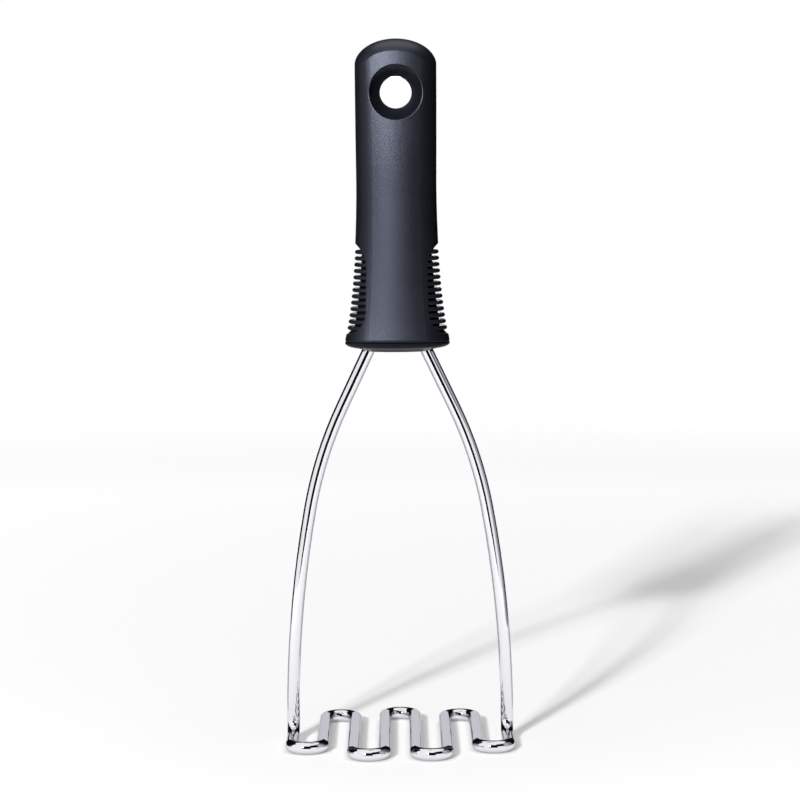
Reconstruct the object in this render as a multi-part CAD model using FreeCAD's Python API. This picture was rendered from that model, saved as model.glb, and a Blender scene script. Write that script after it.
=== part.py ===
"""Wire potato masher: one bent steel rod, an end collar, a clamp core in two halves and a soft grip.

Millimetres, +Z up. The origin is on the surface that the masher stands on, under the middle of its
head. The two legs lie in the plane Y = 0, and -Y is the front.
"""

import FreeCAD, Part
import math
import os

from FreeCAD import Vector

# Steel rod and its zigzag head; radii and reaches are those of the rod's centre line
WIRE_DIAMETER = 4.76
STRAND_COUNT = 8
STRAND_PITCH = 11.7
HEAD_REACH = 40.2
HEAD_OUTLINE_MARGIN = 5.5
FOOT_BEND_RADIUS = 5.5
FOOT_STRAIGHT = 1.0

# Legs: a straight splayed run, a knee arc and a long sweep down to the foot
LEG_SPLAY = 25.4
LEG_BEND_REACH = 46.0
LEG_KNEE_RADIUS = 155.0

# Tangs: the straight ends of the rod, held inside the core by pressed notches
TANG_BEND_RADIUS = 10.0
TANG_LENGTH = 36.0
NOTCH_DEPTH = 0.9
NOTCH_LENGTH = 6.0
NOTCH_FROM_END = 5.0

# End collar: a shallow dome under a narrow band that is level with the grip's rim, and a ring
# above that holds the foot of the core
COLLAR_UNDERSIDE = 149.5
COLLAR_DOME_HEIGHT = 2.9
COLLAR_BAND_HEIGHT = 0.7
COLLAR_FLOOR = 2.5
COLLAR_INSET = 0.1
COLLAR_FLAT_WIDTH = 17.0
COLLAR_FLAT_DEPTH = 9.0
COLLAR_RING_HEIGHT = 4.5
COLLAR_RING_WALL = 1.9

# Clamp core, split front from rear at Y = 0
CORE_LENGTH = 75.0
CORE_THICKNESS = 13.0
CORE_SIDE_WALL = 1.8
CORE_FOOT_HEIGHT = 8.6
CORE_FOOT_WIDTH = 29.0
CORE_FOOT_THICKNESS = 16.4
TANG_BEND_HEIGHT = 6.0
BEAD_COUNT = 3
BEAD_HEIGHT = 2.4
BEAD_PROUD = 0.8
BEAD_FIRST = 20.0
BEAD_PITCH = 19.0
PEG_COUNT = 2
PEG_DIAMETER = 4.0
PEG_LENGTH = 3.2
PEG_FROM_TOP = 7.0
PEG_PITCH = 14.0

# Soft grip: four-arc oval sections, slimmest at the waist and flared at the rim
GRIP_LENGTH = 113.9
GRIP_WIDTH = 30.3
GRIP_TOP_WIDTH = 30.8
GRIP_WALL = 3.85
GRIP_DEPTH = 21.0
GRIP_TOP_DEPTH = 16.8
RIM_WIDTH = 39.9
RIM_DEPTH = 25.8
FLARE_HEIGHT = 60.7
FLARE_QUICKENING = 0.85
OVAL_CROWN = 1.0
RIM_ROLL_HEIGHT = 1.2
RIM_ROLL_INSET = 0.45
DOME_HEIGHT = 10.2
DOME_AXIS_DROP = 0.3
DOME_EDGE_RADIUS = 1.2
DOME_SIDE_MARGIN = 0.05

# Hanging hole: a short cylindrical throat with a round dish to each face
HOLE_FROM_TOP = 20.2
HOLE_DIAMETER = 12.0
HOLE_THROAT = 5.0
HOLE_MOUTH_DIAMETER = 20.3
HOLE_LIP_RADIUS = 0.5

# Finger pockets with their fins, one on each side
FIN_COUNT = 13
FIN_PITCH = 2.39
FIN_THICKNESS = 1.55
FIN_TIP_INSET = 0.05
POCKET_FROM_RIM = 2.5
POCKET_LOW_MARGIN = 1.85
POCKET_HIGH_MARGIN = 5.3
POCKET_DEPTH = 2.7
POCKET_END_DEPTH = 0.15
POCKET_RAMP = 3.2
POCKET_LOW_CORNER = 9.0
POCKET_HIGH_CORNER = 12.0
PLAIN_FACE_LOW_WIDTH = 24.0
PLAIN_FACE_HIGH_WIDTH = 22.4

# Fits
RIM_GAP = 0.2
HANDLE_FIT = 0.1
WIRE_FIT = 0.1
PEG_FIT = 0.1

# Sections along the lofted walls
WALL_SECTIONS = 12
ROLL_SECTIONS = 4
COLLAR_SECTIONS = 4
POCKET_SECTIONS = 4

# Places worked out from the sizes above
wire_radius = WIRE_DIAMETER / 2
leg_foot_x = STRAND_PITCH * (STRAND_COUNT - 1) / 2
collar_band_bottom = COLLAR_UNDERSIDE + COLLAR_DOME_HEIGHT
collar_top = collar_band_bottom + COLLAR_BAND_HEIGHT
collar_ring_top = collar_top + COLLAR_RING_HEIGHT
ring_half_width = CORE_FOOT_WIDTH / 2 + HANDLE_FIT + COLLAR_RING_WALL
ring_half_depth = CORE_FOOT_THICKNESS / 2 + HANDLE_FIT + COLLAR_RING_WALL
core_bottom = COLLAR_UNDERSIDE + COLLAR_FLOOR
core_top = core_bottom + CORE_LENGTH
core_half_width = GRIP_WIDTH / 2 - GRIP_WALL
tang_x = core_half_width - CORE_SIDE_WALL - wire_radius
tang_bend_z = core_bottom + TANG_BEND_HEIGHT
tang_top = tang_bend_z + TANG_LENGTH
grip_bottom = collar_top + RIM_GAP
grip_top = grip_bottom + GRIP_LENGTH
rim_roll_z = grip_bottom + RIM_ROLL_HEIGHT
flare_top = grip_bottom + FLARE_HEIGHT
hole_z = grip_top - HOLE_FROM_TOP
pocket_bottom = grip_bottom + POCKET_FROM_RIM
first_fin_z = pocket_bottom + POCKET_LOW_MARGIN + FIN_THICKNESS / 2
last_fin_z = first_fin_z + FIN_PITCH * (FIN_COUNT - 1)
pocket_top = last_fin_z + FIN_THICKNESS / 2 + POCKET_HIGH_MARGIN

X_AXIS = Vector(1, 0, 0)
Y_AXIS = Vector(0, 1, 0)
Z_AXIS = Vector(0, 0, 1)
SHORTEST_RUN = 1e-4


def oval(half_width, half_depth, z):
    """A level oval of four tangent arcs: tight at the sides, flatter at front and back."""
    side_radius = half_depth - OVAL_CROWN
    side_centre = half_width - side_radius
    face_radius = (side_centre**2 + half_depth**2 - side_radius**2) / (2 * OVAL_CROWN)
    joint_x = face_radius * side_centre / (face_radius - side_radius)
    joint_y = math.sqrt(face_radius**2 - joint_x**2) - face_radius + half_depth
    corners = [(joint_x, -joint_y), (joint_x, joint_y), (-joint_x, joint_y), (-joint_x, -joint_y)]
    middles = [(half_width, 0), (0, half_depth), (-half_width, 0), (0, -half_depth)]
    arcs = []
    for i, middle in enumerate(middles):
        ends = corners[i], corners[(i + 1) % 4]
        arcs.append(Part.Arc(Vector(*ends[0], z), Vector(*middle, z), Vector(*ends[1], z)).toShape())
    return Part.Wire(arcs)


def oval_prism(half_width, half_depth, bottom, top):
    """An upright oval block."""
    return Part.Face(oval(half_width, half_depth, bottom)).extrude(Z_AXIS * (top - bottom))


def fuse_all(solids):
    """One solid from several that overlap."""
    return solids[0].multiFuse(solids[1:]).removeSplitter()


def mirrored(shape):
    """The same shape on the other side of the plane X = 0."""
    return shape.mirror(Vector(0, 0, 0), X_AXIS)


def bent_route(corners):
    """A wire of straight runs and tangent arcs from (point, bend radius) pairs."""
    points = [point for point, radius in corners]
    edges = []
    start = points[0]
    for before, (corner, radius), after in zip(points, corners[1:-1], points[2:]):
        arriving = (corner - before).normalize()
        leaving = (after - corner).normalize()
        half_turn = arriving.getAngle(leaving) / 2
        setback = radius * math.tan(half_turn)
        inward = (leaving - arriving).normalize()
        first = corner - arriving * setback
        last = corner + leaving * setback
        middle = corner + inward * (radius / math.cos(half_turn) - radius)
        if start.distanceToPoint(first) > SHORTEST_RUN:
            edges.append(Part.LineSegment(start, first).toShape())
        else:
            first = start
        edges.append(Part.Arc(first, middle, last).toShape())
        start = last
    edges.append(Part.LineSegment(start, points[-1]).toShape())
    return Part.Wire(edges)


def round_rod(corners, radius):
    """A round rod bent along a route."""
    route = bent_route(corners)
    heading = corners[1][0] - corners[0][0]
    section = Part.Wire(Part.Circle(corners[0][0], heading, radius).toShape())
    return route.makePipeShell([section], True, False)


def leg_bends():
    """The knee and sweep of the right leg: two arcs between its splayed run and its upright foot."""
    splay = math.radians(LEG_SPLAY)
    meeting_z = tang_bend_z - (leg_foot_x - tang_x) / math.tan(splay)
    knee_x = leg_foot_x - LEG_BEND_REACH * math.sin(splay)
    knee_z = meeting_z + LEG_BEND_REACH * math.cos(splay)
    foot_z = wire_radius + FOOT_BEND_RADIUS + FOOT_STRAIGHT
    across = leg_foot_x - knee_x + LEG_KNEE_RADIUS * math.cos(splay)
    up = knee_z - foot_z - LEG_KNEE_RADIUS * math.sin(splay)
    sweep_radius = (across**2 + up**2 - LEG_KNEE_RADIUS**2) / (2 * (across - LEG_KNEE_RADIUS))
    sweep_turn = math.atan2(up, sweep_radius - across)
    knee_setback = LEG_KNEE_RADIUS * math.tan((splay - sweep_turn) / 2)
    sweep_setback = sweep_radius * math.tan(sweep_turn / 2)
    knee = Vector(knee_x + knee_setback * math.sin(splay), 0, knee_z - knee_setback * math.cos(splay))
    sweep = Vector(leg_foot_x, 0, foot_z + sweep_setback)
    return [(knee, LEG_KNEE_RADIUS), (sweep, sweep_radius)]


def loop_reach(loop_x):
    """How far a loop's tip stands from the leg plane, on the head's oval outline."""
    outline_x = leg_foot_x + HEAD_OUTLINE_MARGIN
    from_middle = max(abs(loop_x), STRAND_PITCH)
    return HEAD_REACH * math.sqrt(1 - (from_middle / outline_x) ** 2)


def head_bends():
    """The zigzag from the left foot to the right one, its loops in front and behind by turns."""
    bends = []
    for loop in range(STRAND_COUNT - 1):
        left_x = loop * STRAND_PITCH - leg_foot_x
        tip_y = loop_reach(left_x + STRAND_PITCH / 2) * (-1 if loop % 2 == 0 else 1)
        for x in (left_x, left_x + STRAND_PITCH):
            bends.append((Vector(x, tip_y, wire_radius), STRAND_PITCH / 2))
    return bends


def right_leg_bends():
    """The bends of the right leg from the end of its tang down to its foot."""
    return [
        (Vector(tang_x, 0, tang_top), 0),
        (Vector(tang_x, 0, tang_bend_z), TANG_BEND_RADIUS),
        *leg_bends(),
        (Vector(leg_foot_x, 0, wire_radius), FOOT_BEND_RADIUS),
    ]


def tang_notches(gap):
    """The notches pressed into the front and back of both tangs, drawn in by a gap all round."""
    top = tang_top - NOTCH_FROM_END - gap
    bottom = top - NOTCH_LENGTH + 2 * gap
    floor_y = wire_radius - NOTCH_DEPTH + gap
    blocks = []
    for x in (-tang_x, tang_x):
        for y in (floor_y, -floor_y - WIRE_DIAMETER):
            corner = Vector(x - WIRE_DIAMETER, y, bottom)
            blocks.append(Part.makeBox(2 * WIRE_DIAMETER, WIRE_DIAMETER, top - bottom, corner))
    return blocks


def masher_wire():
    """The whole rod: tang, leg, foot, zigzag head, foot, leg, tang."""
    right = right_leg_bends()
    left = [(Vector(-point.x, point.y, point.z), radius) for point, radius in right]
    rod = round_rod(left + head_bends() + right[::-1], wire_radius)
    return rod.cut(tang_notches(0))


def tang_grooves():
    """The space that the tangs and the tops of the legs take up in the core and the collar."""
    end, bend, knee = right_leg_bends()[:3]
    raised_end = (end[0] + Z_AXIS * WIRE_FIT, 0)
    right = round_rod([raised_end, bend, (knee[0], 0)], wire_radius + WIRE_FIT)
    return right.fuse(mirrored(right)).cut(tang_notches(WIRE_FIT))


def core_envelope(gap):
    """The outside of the closed core, foot, spine and grip beads, grown by a gap all round."""
    foot_half_width = CORE_FOOT_WIDTH / 2 + gap
    foot_half_depth = CORE_FOOT_THICKNESS / 2 + gap
    spine_half_width = core_half_width + gap
    spine_half_depth = CORE_THICKNESS / 2 + gap
    solids = [
        oval_prism(spine_half_width, spine_half_depth, core_bottom, core_top + gap),
        oval_prism(foot_half_width, foot_half_depth, core_bottom, core_bottom + CORE_FOOT_HEIGHT + gap),
    ]
    for i in range(BEAD_COUNT):
        z = core_bottom + BEAD_FIRST + i * BEAD_PITCH
        half_width = spine_half_width + BEAD_PROUD
        half_depth = spine_half_depth + BEAD_PROUD
        solids.append(oval_prism(half_width, half_depth, z - gap, z + BEAD_HEIGHT + gap))
    return fuse_all(solids)


def core_pegs(gap):
    """The pegs that line the two core halves up, standing on the split face."""
    pegs = []
    for i in range(PEG_COUNT):
        base = Vector(0, 0, core_top - PEG_FROM_TOP - i * PEG_PITCH)
        pegs.append(Part.makeCylinder(PEG_DIAMETER / 2 + gap, PEG_LENGTH + gap, base, Y_AXIS))
    return pegs


def core_half(front):
    """One half of the core: the front one has the pegs, the rear one their sockets."""
    envelope = core_envelope(0)
    box = envelope.BoundBox
    corner = Vector(box.XMin, box.YMin if front else 0, box.ZMin)
    half_space = Part.makeBox(box.XLength, box.YLength / 2, box.ZLength, corner)
    half = envelope.common(half_space).cut(tang_grooves())
    return fuse_all([half, *core_pegs(0)]) if front else half.cut(core_pegs(PEG_FIT))


def collar_dome(band_half_width, band_half_depth):
    """The underside of the collar: steep under the band, then ever flatter towards the middle."""
    sections = []
    for i in range(COLLAR_SECTIONS + 1):
        down = i / COLLAR_SECTIONS
        half_width = band_half_width - down**2 * (band_half_width - COLLAR_FLAT_WIDTH / 2)
        half_depth = band_half_depth - down**2 * (band_half_depth - COLLAR_FLAT_DEPTH / 2)
        sections.append(oval(half_width, half_depth, collar_band_bottom - down * COLLAR_DOME_HEIGHT))
    return Part.makeLoft(sections, True)


def end_collar():
    """The domed collar, with the cup for the core's foot and two splayed holes for the legs."""
    band_half_width = RIM_WIDTH / 2 - COLLAR_INSET
    band_half_depth = RIM_DEPTH / 2 - COLLAR_INSET
    collar = fuse_all([
        collar_dome(band_half_width, band_half_depth),
        oval_prism(band_half_width, band_half_depth, collar_band_bottom, collar_top),
        oval_prism(ring_half_width, ring_half_depth, collar_band_bottom, collar_ring_top),
    ])
    cup = oval_prism(
        CORE_FOOT_WIDTH / 2 + HANDLE_FIT,
        CORE_FOOT_THICKNESS / 2 + HANDLE_FIT,
        core_bottom,
        collar_ring_top,
    )
    return collar.cut([cup, tang_grooves()])


def flare(z):
    """The flare as a share of its full size: 0 at the waist, 1 at the rim, along part of an ellipse."""
    down = max(flare_top - z, 0) / FLARE_HEIGHT
    full = 1 - math.sqrt(1 - FLARE_QUICKENING**2)
    return (1 - math.sqrt(1 - (FLARE_QUICKENING * down) ** 2)) / full


def above_waist(z):
    """How far a height is from the waist, 0, to the grip's top, 1."""
    return max(z - flare_top, 0) / (grip_top - flare_top)


def grip_half_width(z):
    """Half the grip's width at a height: it swells a little above the waist."""
    swelling = (1 - (1 - above_waist(z)) ** 2) * (GRIP_TOP_WIDTH - GRIP_WIDTH) / 2
    return GRIP_WIDTH / 2 + flare(z) * (RIM_WIDTH - GRIP_WIDTH) / 2 + swelling


def grip_half_depth(z):
    """Half the grip's depth at a height: it thins gently above the waist."""
    thinning = above_waist(z) ** 2 * (GRIP_DEPTH - GRIP_TOP_DEPTH) / 2
    return GRIP_DEPTH / 2 + flare(z) * (RIM_DEPTH - GRIP_DEPTH) / 2 - thinning


def grip_walls():
    """The grip's side walls, from the rim straight up to the level of its top."""
    rise = (grip_top - rim_roll_z) / WALL_SECTIONS
    levels = [rim_roll_z + rise * i for i in range(WALL_SECTIONS + 1)]
    return Part.makeLoft([oval(grip_half_width(z), grip_half_depth(z), z) for z in levels], True)


def rim_roll():
    """The rounded rim: a quarter ellipse drawn in under the walls."""
    sections = []
    for i in range(ROLL_SECTIONS + 1):
        turn = math.pi / 2 * i / ROLL_SECTIONS
        z = rim_roll_z - RIM_ROLL_HEIGHT * math.sin(turn)
        inset = RIM_ROLL_INSET * (1 - math.cos(turn))
        sections.append(oval(grip_half_width(z) - inset, grip_half_depth(z) - inset, z))
    return Part.makeLoft(sections, True)


def dome_limit():
    """Everything under the grip's domed top: its front outline turned about an axis along X."""
    dome_base = grip_top - DOME_HEIGHT
    half_width = grip_half_width(dome_base) + DOME_SIDE_MARGIN
    axis_z = dome_base - DOME_AXIS_DROP
    centre = Vector(0, 0, dome_base)
    ellipse = Part.Ellipse(centre + X_AXIS * half_width, centre + Z_AXIS * DOME_HEIGHT, centre)
    top = Part.ArcOfEllipse(ellipse, 0, math.pi).toShape()
    right, left = top.Vertexes[0].Point, top.Vertexes[-1].Point
    low_right, low_left = Vector(right.x, 0, axis_z), Vector(left.x, 0, axis_z)
    lines = [
        Part.LineSegment(left, low_left).toShape(),
        Part.LineSegment(low_left, low_right).toShape(),
        Part.LineSegment(low_right, right).toShape(),
    ]
    dome = Part.Face(Part.Wire([top, *lines])).revolve(Vector(0, 0, axis_z), X_AXIS, 360)
    below = Part.makeBox(2 * RIM_WIDTH, 2 * RIM_DEPTH, axis_z, Vector(-RIM_WIDTH, -RIM_DEPTH, 0))
    return dome.fuse(below)


def hanging_hole():
    """The throat and its two dishes: spheres that pass through the throat's ends and the mouths."""
    throat_radius = HOLE_DIAMETER / 2
    throat_end = HOLE_THROAT / 2
    mouth_y = grip_half_depth(hole_z)
    spread = (HOLE_MOUTH_DIAMETER / 2) ** 2 - throat_radius**2
    dish_y = (mouth_y + throat_end + spread / (mouth_y - throat_end)) / 2
    dish_radius = math.hypot(throat_radius, dish_y - throat_end)
    centre = Vector(0, 0, hole_z)
    return fuse_all([
        Part.makeCylinder(throat_radius, 2 * dish_y, centre - Y_AXIS * dish_y, Y_AXIS),
        Part.makeSphere(dish_radius, centre - Y_AXIS * dish_y, Y_AXIS),
        Part.makeSphere(dish_radius, centre + Y_AXIS * dish_y, Y_AXIS),
    ])


def pocket_depth(z):
    """Depth of a finger pocket at a height: it ramps down from both ends."""
    from_end = min(z - pocket_bottom, pocket_top - z)
    share = min(max(from_end / POCKET_RAMP, 0), 1)
    return POCKET_END_DEPTH + share * (POCKET_DEPTH - POCKET_END_DEPTH)


def pocket_floor():
    """The core of soft material that is left inside the pockets."""
    low_ramp = pocket_bottom + POCKET_RAMP
    high_ramp = pocket_top - POCKET_RAMP
    step = (high_ramp - low_ramp) / POCKET_SECTIONS
    levels = [pocket_bottom, *(low_ramp + step * i for i in range(POCKET_SECTIONS + 1)), pocket_top]
    sections = []
    for z in levels:
        depth = pocket_depth(z)
        sections.append(oval(grip_half_width(z) - depth, grip_half_depth(z) - depth, z))
    return Part.makeLoft(sections, True, True)


def finger_pocket():
    """What is cut from the right side of the grip, before its fins are put back."""
    low_corner = Vector(PLAIN_FACE_LOW_WIDTH / 2, -RIM_DEPTH, pocket_bottom)
    high_corner = Vector(PLAIN_FACE_HIGH_WIDTH / 2, -RIM_DEPTH, pocket_top)
    low_end = Vector(RIM_WIDTH, -RIM_DEPTH, pocket_bottom)
    high_end = Vector(RIM_WIDTH, -RIM_DEPTH, pocket_top)
    front_edge = bent_route([
        (low_end, 0),
        (low_corner, POCKET_LOW_CORNER),
        (high_corner, POCKET_HIGH_CORNER),
        (high_end, 0),
    ])
    outline = Part.Wire([*front_edge.Edges, Part.LineSegment(high_end, low_end).toShape()])
    return Part.Face(outline).extrude(Y_AXIS * 2 * RIM_DEPTH).cut(pocket_floor())


def fin(z):
    """One fin of the right side: a disc with a full-round rim, flush with the grip's outside."""
    radius = grip_half_depth(z) - OVAL_CROWN - FIN_TIP_INSET
    centre_x = grip_half_width(z) - FIN_TIP_INSET - radius
    half = FIN_THICKNESS / 2
    rim = radius - half
    outline = Part.Wire([
        Part.LineSegment(Vector(0, 0, -half), Vector(rim, 0, -half)).toShape(),
        Part.Arc(Vector(rim, 0, -half), Vector(radius, 0, 0), Vector(rim, 0, half)).toShape(),
        Part.LineSegment(Vector(rim, 0, half), Vector(0, 0, half)).toShape(),
        Part.LineSegment(Vector(0, 0, half), Vector(0, 0, -half)).toShape(),
    ])
    disc = Part.Face(outline).revolve(Vector(0, 0, 0), Z_AXIS, 360)
    disc.translate(Vector(centre_x, 0, z))
    return disc


def edges_on_walls(shape, surface_kind):
    """The edges where faces of one kind of surface meet the lofted walls."""
    faces = [face for face in shape.Faces if type(face.Surface).__name__ == surface_kind]
    return [edge for face in faces for edge in face.Edges if type(edge.Curve).__name__ == "BSplineCurve"]


def grip_outside():
    """The grip as a full block: rolled rim, domed top and hanging hole, the last two with rounded edges."""
    grip = grip_walls().common(dome_limit())
    grip = grip.makeFillet(DOME_EDGE_RADIUS, edges_on_walls(grip, "SurfaceOfRevolution"))
    grip = grip.cut(hanging_hole())
    grip = grip.makeFillet(HOLE_LIP_RADIUS, edges_on_walls(grip, "Sphere"))
    return grip.fuse(rim_roll())


def soft_grip():
    """The grip with its finned pockets, and the hollow that takes the core and the collar's ring."""
    pocket = finger_pocket()
    fins = [fin(first_fin_z + i * FIN_PITCH) for i in range(FIN_COUNT)]
    grip = grip_outside().cut([pocket, mirrored(pocket)])
    grip = grip.multiFuse(fins + [mirrored(piece) for piece in fins])
    mouth = oval_prism(
        ring_half_width + HANDLE_FIT,
        ring_half_depth + HANDLE_FIT,
        grip_bottom,
        collar_ring_top + HANDLE_FIT,
    )
    return grip.cut([core_envelope(HANDLE_FIT), mouth])


def main():
    """Builds each piece and writes it to its own file."""
    os.makedirs("parts", exist_ok=True)
    pieces = {
        "masher_wire": masher_wire(),
        "end_collar": end_collar(),
        "core_front_half": core_half(front=True),
        "core_rear_half": core_half(front=False),
        "soft_grip": soft_grip(),
    }
    for name, shape in pieces.items():
        print(name, len(shape.Solids), "solid,", round(shape.Volume / 1000, 2), "cm3, valid", shape.isValid())
        shape.exportStep(f"parts/{name}.step")


main()
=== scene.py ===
# %% [markdown]
# # A wire potato masher, dressed for its photograph
#
# The masher is one bent steel rod in a soft grip. Its solids come from the CAD model and stay where they
# are. This lesson adds what the solids can't hold: the studio, the light and the finish of each material.

# %% Load the frame
import math

import bpy
from mathutils import Matrix, Vector

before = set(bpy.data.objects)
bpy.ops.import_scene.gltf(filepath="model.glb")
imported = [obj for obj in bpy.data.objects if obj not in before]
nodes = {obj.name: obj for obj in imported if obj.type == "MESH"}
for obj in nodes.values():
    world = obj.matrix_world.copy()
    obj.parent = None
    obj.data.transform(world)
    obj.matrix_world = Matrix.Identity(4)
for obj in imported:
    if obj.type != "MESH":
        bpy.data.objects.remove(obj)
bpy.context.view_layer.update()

MM = 0.001
print("nodes:", sorted(nodes))

# %% [markdown]
# ## Camera
#
# The picture was taken from about a metre away, from a little below the top of the masher and tilted down,
# because the head shows from above while the hanging hole shows level. A long lens keeps the legs from
# spreading. The tilt and the distance were worked out from how wide the head and the hole's two ends look.
# A tiny roll stands for a camera that wasn't quite level.

# %% Camera
CAMERA_DISTANCE = 1060 * MM
CAMERA_HEIGHT = 225 * MM
CAMERA_ASIDE = 0.8 * MM
CAMERA_TILT = math.radians(5.08)
CAMERA_ROLL = math.radians(-0.42)
SENSOR_WIDTH = 36.0
LENS_LENGTH = 126.0
SIGHT_LIMIT = 50.0

lens = bpy.data.cameras.new("studio_camera")
lens.sensor_width = SENSOR_WIDTH
lens.lens = LENS_LENGTH
lens.clip_end = SIGHT_LIMIT
camera = bpy.data.objects.new("studio_camera", lens)
bpy.context.scene.collection.objects.link(camera)
aim = Matrix.Rotation(math.pi / 2 - CAMERA_TILT, 4, "X") @ Matrix.Rotation(CAMERA_ROLL, 4, "Z")
camera.matrix_world = Matrix.Translation((CAMERA_ASIDE, -CAMERA_DISTANCE, CAMERA_HEIGHT)) @ aim
bpy.context.scene.camera = camera
bpy.context.scene.view_settings.view_transform = "Standard"
print("camera", round(CAMERA_DISTANCE / MM), "mm away,", LENS_LENGTH, "mm lens")

# %% [markdown]
# ## Colours, nodes and materials
#
# Every colour below is written as an sRGB hex value, as a paint card or a picture gives it. Blender works
# with linear light, so one function turns one into the other. The next adds a shader node: its settings
# go to properties or sockets of the same name, and its links join it to nodes made before it. The last
# makes an empty material for such nodes.

# %% Helpers
def linear(hex_colour):
    """An sRGB hex colour as linear RGBA."""
    channels = [int(hex_colour[i:i + 2], 16) / 255 for i in (1, 3, 5)]
    curve = [c / 12.92 if c <= 0.04045 else ((c + 0.055) / 1.055) ** 2.4 for c in channels]
    return (*curve, 1.0)


def add(tree, kind, settings=None, links=None):
    """A new node of that kind with its settings and its incoming links."""
    node = tree.nodes.new(kind)
    for name, value in (settings or {}).items():
        if isinstance(name, int) or name in node.inputs:
            node.inputs[name].default_value = value
        else:
            setattr(node, name, value)
    for name, socket in (links or {}).items():
        tree.links.new(socket, node.inputs[name])
    return node


def new_material(name):
    """An empty material and its node tree."""
    material = bpy.data.materials.new(name)
    material.use_nodes = True
    material.node_tree.nodes.clear()
    return material, material.node_tree


print("mid grey #808080 is", round(linear("#808080")[0], 3), "in linear light")

# %% [markdown]
# ## Studio table
#
# The masher stands on a white table that runs out of sight, so the background has no line in it. A curved
# paper sweep would do, but a flat table whose paper fades into the white surroundings is simpler. It ends
# half a metre in front of the masher, well below the picture, so that the legs mirror the dark side of the
# studio there.

# %% Table top
TABLE_HALF = 3.0
TABLE_FRONT = -0.5

floor_mesh = bpy.data.meshes.new("studio_table")
corners = [(-TABLE_HALF, TABLE_FRONT, 0), (TABLE_HALF, TABLE_FRONT, 0),
           (TABLE_HALF, TABLE_HALF, 0), (-TABLE_HALF, TABLE_HALF, 0)]
floor_mesh.from_pydata(corners, [], [(0, 1, 2, 3)])
floor = bpy.data.objects.new("studio_table", floor_mesh)
bpy.context.scene.collection.objects.link(floor)
print("table", 2 * TABLE_HALF, "m wide, from", TABLE_FRONT, "to", TABLE_HALF, "m")

# %% [markdown]
# ## Table paper
#
# The table is covered in matt white paper, which takes the shadow. For the camera and for mirrors its
# brightness also follows the distance from the masher. A glow that grows with the distance makes up for
# light that falls off, and further out the paper turns plain white. Close to the head the paint is darker
# and a pool of glow stands in for it, because a white room lightens the short shadows among the strands.
# Ambient occlusion paints shade into the paper and its glow in the narrow crease where the rod touches it, a
# painted contact shadow.

# %% Who looks at a surface
def seen_by_eye(tree):
    """A socket that is 1 for rays from the camera, mirrors and glass, and 0 for those from matt surfaces."""
    ray = add(tree, "ShaderNodeLightPath")
    seen = add(tree, "ShaderNodeMath", {"operation": "MAXIMUM"},
               {0: ray.outputs["Is Camera Ray"], 1: ray.outputs["Is Glossy Ray"]})
    seen_through = add(tree, "ShaderNodeMath", {"operation": "MAXIMUM"},
                       {0: seen.outputs["Value"], 1: ray.outputs["Is Transmission Ray"]})
    return seen_through.outputs["Value"]


paper, tree = new_material("matt white table paper")
place = add(tree, "ShaderNodeTexCoord")
reach = add(tree, "ShaderNodeVectorMath", {"operation": "LENGTH"}, {0: place.outputs["Object"]})
looked_at = seen_by_eye(tree)
print("paper starts with", len(tree.nodes), "nodes, for the distance and for who looks")

# %% Paint and painted crease shade
HEAD_EDGE, HEAD_CLEAR = 0.05, 0.13
PAINT_NEAR, PAINT_FAR = 0.62, 1.08
PAINT_FOR_BOUNCES = 0.94
CREASE_REACH = 2.5 * MM
CREASE_LEVEL = 0.5
CREASE_SAMPLES = 8

near = add(tree, "ShaderNodeMapRange",
           {"From Min": HEAD_EDGE, "From Max": HEAD_CLEAR, "To Min": PAINT_NEAR, "To Max": PAINT_FAR},
           {"Value": reach.outputs["Value"]})
paint = add(tree, "ShaderNodeMapRange", {"To Min": PAINT_FOR_BOUNCES},
            {"Value": looked_at, "To Max": near.outputs["Result"]})
# Painted shade: ambient occlusion darkens the paper's paint in the crease where the rod touches it.
crease = add(tree, "ShaderNodeAmbientOcclusion", {"samples": CREASE_SAMPLES, "Distance": CREASE_REACH})
crease_shade = add(tree, "ShaderNodeMapRange", {"To Min": CREASE_LEVEL}, {"Value": crease.outputs["AO"]})
shaded_paint = add(tree, "ShaderNodeMath", {"operation": "MULTIPLY"},
              {0: paint.outputs["Result"], 1: crease_shade.outputs["Result"]})
matt = add(tree, "ShaderNodeBsdfDiffuse", {}, {"Color": shaded_paint.outputs["Value"]})
print("paint", PAINT_NEAR, "up to", HEAD_EDGE, "m and", PAINT_FAR, "from", HEAD_CLEAR, "m")

# %% Glow
GLOW_NEAR, GLOW_FAR = 0.05, 0.31
GLOW_REACH = 0.8
POOL = 0.36

level = add(tree, "ShaderNodeMapRange",
            {"From Max": GLOW_REACH, "To Min": GLOW_NEAR, "To Max": GLOW_FAR},
            {"Value": reach.outputs["Value"]})
pool = add(tree, "ShaderNodeMapRange",
           {"From Min": HEAD_EDGE, "From Max": HEAD_CLEAR, "To Min": POOL, "To Max": 0.0},
           {"Value": reach.outputs["Value"]})
total = add(tree, "ShaderNodeMath", {"operation": "ADD"},
            {0: level.outputs["Result"], 1: pool.outputs["Result"]})
# The same painted crease shade darkens the glow.
shaded_glow = add(tree, "ShaderNodeMath", {"operation": "MULTIPLY"},
                   {0: total.outputs["Value"], 1: crease_shade.outputs["Result"]})
seen_glow = add(tree, "ShaderNodeMath", {"operation": "MULTIPLY"},
                {0: shaded_glow.outputs["Value"], 1: looked_at})
glow = add(tree, "ShaderNodeEmission", {"Color": linear("#FFFFFF")},
           {"Strength": seen_glow.outputs["Value"]})
lifted = add(tree, "ShaderNodeAddShader", {}, {0: matt.outputs["BSDF"], 1: glow.outputs["Emission"]})
print("glow", GLOW_NEAR, "at the masher and", GLOW_FAR, "from", GLOW_REACH, "m")

# %% Fade to white
FADE_START, FADE_END = 0.8, 1.3

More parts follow.
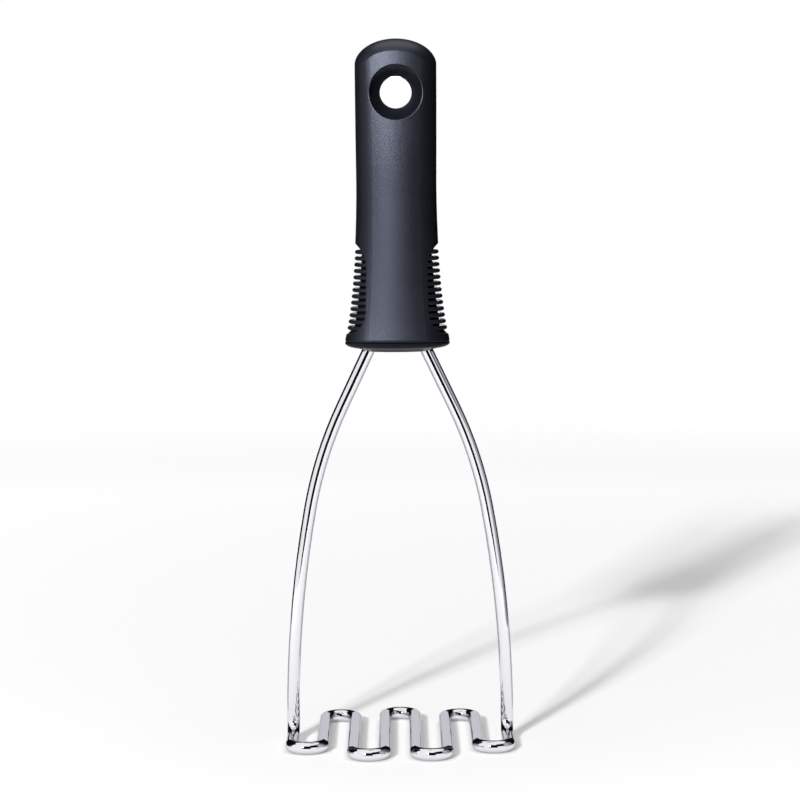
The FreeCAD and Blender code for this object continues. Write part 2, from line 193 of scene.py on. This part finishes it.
fade = add(tree, "ShaderNodeMapRange",
           {"interpolation_type": "SMOOTHSTEP", "From Min": FADE_START, "From Max": FADE_END},
           {"Value": reach.outputs["Value"]})
far_and_seen = add(tree, "ShaderNodeMath", {"operation": "MULTIPLY"},
                   {0: fade.outputs["Result"], 1: looked_at})
white = add(tree, "ShaderNodeEmission", {"Color": linear("#FFFFFF"), "Strength": 1.0})
both = add(tree, "ShaderNodeMixShader", {},
           {0: far_and_seen.outputs["Value"], 1: lifted.outputs["Shader"], 2: white.outputs["Emission"]})
add(tree, "ShaderNodeOutputMaterial", {}, {"Surface": both.outputs["Shader"]})
floor.data.materials.append(paper)
print("paper fades to white between", FADE_START, "and", FADE_END, "m")

# %% [markdown]
# ## World
#
# The room's own light is soft and even. A picture of a real studio could light the scene from all round, but
# one plain white needs no file. The camera and mirror reflections see it as it is, and it is the picture's
# background, while everything else gets a quieter fill, so that the lamps can still draw a shadow.

# %% World
FILL = 0.14

world = bpy.data.worlds.new("white_room")
bpy.context.scene.world = world
world.use_nodes = True
tree = world.node_tree
tree.nodes.clear()
level = add(tree, "ShaderNodeMapRange", {"To Min": FILL, "To Max": 1.0}, {"Value": seen_by_eye(tree)})
sky = add(tree, "ShaderNodeBackground", {"Color": linear("#FFFFFF")}, {"Strength": level.outputs["Result"]})
add(tree, "ShaderNodeOutputWorld", {}, {"Surface": sky.outputs["Background"]})
print("fill level", FILL)

# %% [markdown]
# ## Lamps
#
# The shadow falls to the right and behind, so the light stands to the left of the camera and well above
# the masher. The legs' shadows are sharp at the feet, and a wide soft shadow lies around them, so there are
# two sources close together: a small bare lamp and a softbox. They stand far off, so that they light the
# table evenly. The softbox doesn't show in reflections, and so the steel mirrors no large white square.
#
# The grip's highlights have lamps of their own: a broad one close to its front, a soft one above its dome
# and a narrow one behind, which stands low so that its light misses the tops of the fins. These three count
# only in reflections, and light linking keeps them to the grip. The steel and the table don't change.
# A bearing is 0 towards the camera and grows to the right.

# %% Lamps
LAMP_AIM = Vector((0.0, 0.0, 0.13))


def lamp(name, reach, bearing, height, width, tall, power):
    """An area lamp at a distance, a bearing and a height, turned to the masher and unseen by the camera."""
    light = bpy.data.lights.new(name, "AREA")
    light.shape = "RECTANGLE"
    light.size = width
    light.size_y = tall
    light.energy = power
    turn = math.radians(bearing)
    stand = bpy.data.objects.new(name, light)
    stand.location = (reach * math.sin(turn), -reach * math.cos(turn), height)
    stand.rotation_euler = (LAMP_AIM - stand.location).to_track_quat("-Z", "Y").to_euler()
    stand.visible_camera = False
    bpy.context.scene.collection.objects.link(stand)
    print(name, "at", [round(v, 2) for v in stand.location])
    return stand


lamp("key_lamp", reach=5.0, bearing=-21, height=2.15, width=0.24, tall=0.24, power=170.0)
softbox = lamp("softbox", reach=5.0, bearing=-20, height=2.15, width=0.8, tall=0.6, power=340.0)
softbox.visible_glossy = False

# %% Lamps for the grip's highlights
sheen = lamp("sheen_lamp", reach=0.45, bearing=-18, height=0.38, width=0.28, tall=0.16, power=9.4)
top = lamp("top_lamp", reach=0.1, bearing=180, height=0.9, width=0.6, tall=0.6, power=3.0)
back = lamp("back_lamp", reach=0.45, bearing=180, height=0.08, width=0.05, tall=0.12, power=5.0)
for_grip = bpy.data.collections.new("lit_by_the_sheen_lamps")
for_grip.objects.link(nodes["soft_grip"])
for piece in (sheen, top, back):
    piece.visible_diffuse = False
    piece.light_linking.receiver_collection = for_grip

# %% [markdown]
# ## What the steel mirrors
#
# A polished rod in an all-white room would vanish: it would mirror white on white. The dark side of a
# studio, where the camera stands, and dark cards behind give it the lines that draw its edge. Paler cards
# at the sides give it the tones between. Each is a piece of a round wall about the masher, between two
# bearings and two heights, apart from a grey one that lies on the table behind and takes the glare off the
# legs' edges. The cards show only in reflections, so they shade nothing and stay out of every view. The
# paler ones at the sides are linked to the rod alone, because the grip's right side has to stay dark.

# %% Cards
CARD_STEPS = 12


def card(name, low_edge, high_edge, left, right, colour):
    """A curved card between two edges, each a reach and a height, and two bearings in degrees."""
    paint, tree = new_material(name + " paint")
    tone = add(tree, "ShaderNodeEmission", {"Color": linear(colour)})
    add(tree, "ShaderNodeOutputMaterial", {}, {"Surface": tone.outputs["Emission"]})
    corners, faces = [], []
    for i in range(CARD_STEPS + 1):
        turn = math.radians(left + (right - left) * i / CARD_STEPS)
        for reach, height in (low_edge, high_edge):
            corners.append((reach * math.sin(turn), -reach * math.cos(turn), height))
    for i in range(CARD_STEPS):
        faces.append((2 * i, 2 * i + 2, 2 * i + 3, 2 * i + 1))
    mesh = bpy.data.meshes.new(name)
    mesh.from_pydata(corners, [], faces)
    mesh.materials.append(paint)
    wall = bpy.data.objects.new(name, mesh)
    wall.visible_camera = False
    wall.visible_diffuse = False
    wall.visible_shadow = False
    bpy.context.scene.collection.objects.link(wall)
    print("card", name, "from", left, "to", right, "degrees")
    return wall


print("each card has", CARD_STEPS, "flat strips")

# %% Dark and grey cards
FAR, NEAR = 7.5, 0.5
FAR_FOOT, FAR_TOP, CEILING = -3.0, 7.0, 10.0
CARD_TOP, NEAR_TOP = 1.9, 0.6
SHEET_START, SHEET_END, SHEET_LIFT = 0.1, 0.49, 0.5 * MM

card("camera_side", (FAR, FAR_FOOT), (FAR, FAR_TOP), -24, 20, "#121214")
card("back_right", (NEAR, 0.0), (NEAR, NEAR_TOP), 110, 164, "#0E0E10")
card("back_left", (NEAR, 0.0), (NEAR, NEAR_TOP), 196, 260, "#0E0E10")
card("high_dark", (FAR, CARD_TOP), (FAR, CEILING), 20, 268, "#101012")
card("back_table", (SHEET_START, SHEET_LIFT), (SHEET_END, SHEET_LIFT), 100, 260, "#BEBEC4")

# %% Side cards for the rod alone
for_steel = bpy.data.collections.new("mirrored_by_the_rod")
for_steel.objects.link(nodes["masher_wire"])
side_cards = [
    card("right_white", (FAR, FAR_FOOT), (FAR, CARD_TOP), 20, 62, "#FFFFFF"),
    card("right_pale", (NEAR, 0.0), (NEAR, NEAR_TOP), 62, 88, "#B4B4BC"),
    card("right_grey", (NEAR, 0.0), (NEAR, NEAR_TOP), 88, 110, "#85858C"),
    card("left_grey", (FAR, 0.0), (FAR, CARD_TOP), 260, 268, "#8A8A92"),
]
for piece in side_cards:
    piece.light_linking.receiver_collection = for_steel
print("mirrored by the rod alone:", [piece.name for piece in side_cards])

# %% [markdown]
# ## Polished stainless steel
#
# The rod is drawn stainless wire, bent cold and then tumbled bright. Drawing leaves it very slightly
# uneven, so its reflections waver along the bends instead of running like ruled lines. The colour is silver
# with a trace of blue, and the shine is almost a mirror's. Seen at a shallow angle it mirrors a little less,
# which a metal's specular tint sets, so its outline stays grey against the white. The unevenness could be
# modelled, but it is far too shallow to change the outline, and a bump bends the reflections just as well.

# %% Steel
CLOUD_MM = 6
RIPPLE_MM = 7
RIPPLE_DEPTH = 0.1 * MM


def scale_for(size_mm):
    """A texture scale that makes one cell of a pattern that many millimetres wide."""
    return 1 / (size_mm * MM)


def dress(material, name):
    """Gives a CAD node this material in place of the one that it came with."""
    slots = nodes[name].data.materials
    slots.clear()
    slots.append(material)
    print(material.name, "on", name, "with", len(nodes[name].data.polygons), "faces")


steel, tree = new_material("polished stainless steel, drawn and tumbled")
place = add(tree, "ShaderNodeTexCoord")
cloud = add(tree, "ShaderNodeTexNoise", {"Scale": scale_for(CLOUD_MM), "Detail": 3.0},
            {"Vector": place.outputs["Object"]})
gloss = add(tree, "ShaderNodeMapRange", {"To Min": 0.015, "To Max": 0.04}, {"Value": cloud.outputs["Fac"]})
ripple = add(tree, "ShaderNodeTexNoise", {"Scale": scale_for(RIPPLE_MM), "Detail": 1.0},
             {"Vector": place.outputs["Object"]})
waver = add(tree, "ShaderNodeBump", {"Strength": 0.05, "Distance": RIPPLE_DEPTH},
            {"Height": ripple.outputs["Fac"]})
shader = add(tree, "ShaderNodeBsdfPrincipled",
             {"Base Color": linear("#EAEAEE"), "Metallic": 1.0, "Specular Tint": (0.6, 0.6, 0.64, 1.0)},
             {"Roughness": gloss.outputs["Result"], "Normal": waver.outputs["Normal"]})
add(tree, "ShaderNodeOutputMaterial", {}, {"Surface": shader.outputs["BSDF"]})
dress(steel, "masher_wire")

# %% [markdown]
# ## Moulded soft rubber
#
# The grip is a thermoplastic rubber, moulded in a tool whose walls were spark-eroded to a fine matt grain.
# That grain spreads a highlight over the whole front and keeps the edges soft. The colour is a black with
# a little blue in it. Grain is a matter of shading, so a bump draws it and the mesh stays as it is. The real
# grain is about a tenth of a millimetre, too fine for this picture, so it is drawn at half a millimetre.

# %% Grip rubber
GRAIN_MM = 0.5
GRAIN_DEPTH = 0.06 * MM
PATCH_MM = 9

rubber, tree = new_material("thermoplastic rubber, moulded matt")
place = add(tree, "ShaderNodeTexCoord")
grain = add(tree, "ShaderNodeTexNoise", {"Scale": scale_for(GRAIN_MM), "Detail": 2.0},
            {"Vector": place.outputs["Object"]})
patch = add(tree, "ShaderNodeTexNoise", {"Scale": scale_for(PATCH_MM), "Detail": 4.0},
            {"Vector": place.outputs["Object"]})
tone = add(tree, "ShaderNodeMix", {"data_type": "RGBA", 6: linear("#0A0B10"), 7: linear("#0E1015")},
           {0: patch.outputs["Fac"]})
matness = add(tree, "ShaderNodeMapRange", {"To Min": 0.40, "To Max": 0.46}, {"Value": patch.outputs["Fac"]})
pitted = add(tree, "ShaderNodeBump", {"Strength": 0.75, "Distance": GRAIN_DEPTH},
             {"Height": grain.outputs["Fac"]})
shader = add(tree, "ShaderNodeBsdfPrincipled",
             {"IOR": 1.52, "Specular IOR Level": 0.2, "Specular Tint": (0.71, 0.76, 1.0, 1.0)},
             {"Base Color": tone.outputs[2], "Roughness": matness.outputs["Result"],
              "Normal": pitted.outputs["Normal"]})
add(tree, "ShaderNodeOutputMaterial", {}, {"Surface": shader.outputs["BSDF"]})
dress(rubber, "soft_grip")

# %% [markdown]
# ## Gloss collar
#
# The collar under the grip is a hard black plastic from a polished tool. Seen at a shallow angle it mirrors
# the white table, so it looks grey along its lower edge. Plastic that cools as it flows into a tool is never
# quite even, and slow changes in its shade and its polish stand for that.

# %% Collar plastic
FLOW_MM = 5

gloss_abs, tree = new_material("ABS, moulded gloss black")
place = add(tree, "ShaderNodeTexCoord")
flow = add(tree, "ShaderNodeTexNoise", {"Scale": scale_for(FLOW_MM), "Detail": 3.0},
           {"Vector": place.outputs["Object"]})
polish = add(tree, "ShaderNodeMapRange", {"To Min": 0.26, "To Max": 0.34}, {"Value": flow.outputs["Fac"]})
shade = add(tree, "ShaderNodeMix", {"data_type": "RGBA", 6: linear("#0E0E11"), 7: linear("#131318")},
            {0: flow.outputs["Fac"]})
shader = add(tree, "ShaderNodeBsdfPrincipled",
             {"IOR": 1.53, "Specular IOR Level": 0.1, "Specular Tint": (0.8, 0.8, 1.0, 1.0)},
             {"Base Color": shade.outputs[2], "Roughness": polish.outputs["Result"]})
add(tree, "ShaderNodeOutputMaterial", {}, {"Surface": shader.outputs["BSDF"]})
dress(gloss_abs, "end_collar")

# %% [markdown]
# ## Plain core
#
# The core inside the grip is a tough plain plastic from a tool that nobody polished, dull and lighter than
# the collar. It only shows if the grip is taken off, so a faint cloudy bloom is all the detail it needs.

# %% Core plastic
BLOOM_MM = 3

core_plastic, tree = new_material("polypropylene, moulded plain")
place = add(tree, "ShaderNodeTexCoord")
bloom = add(tree, "ShaderNodeTexNoise", {"Scale": scale_for(BLOOM_MM), "Detail": 4.0},
            {"Vector": place.outputs["Object"]})
dullness = add(tree, "ShaderNodeMapRange", {"To Min": 0.45, "To Max": 0.6}, {"Value": bloom.outputs["Fac"]})
shade = add(tree, "ShaderNodeMix", {"data_type": "RGBA", 6: linear("#46474B"), 7: linear("#505156")},
            {0: bloom.outputs["Fac"]})
shader = add(tree, "ShaderNodeBsdfPrincipled", {"IOR": 1.49},
             {"Base Color": shade.outputs[2], "Roughness": dullness.outputs["Result"]})
add(tree, "ShaderNodeOutputMaterial", {}, {"Surface": shader.outputs["BSDF"]})
dress(core_plastic, "core_front_half")
dress(core_plastic, "core_rear_half")
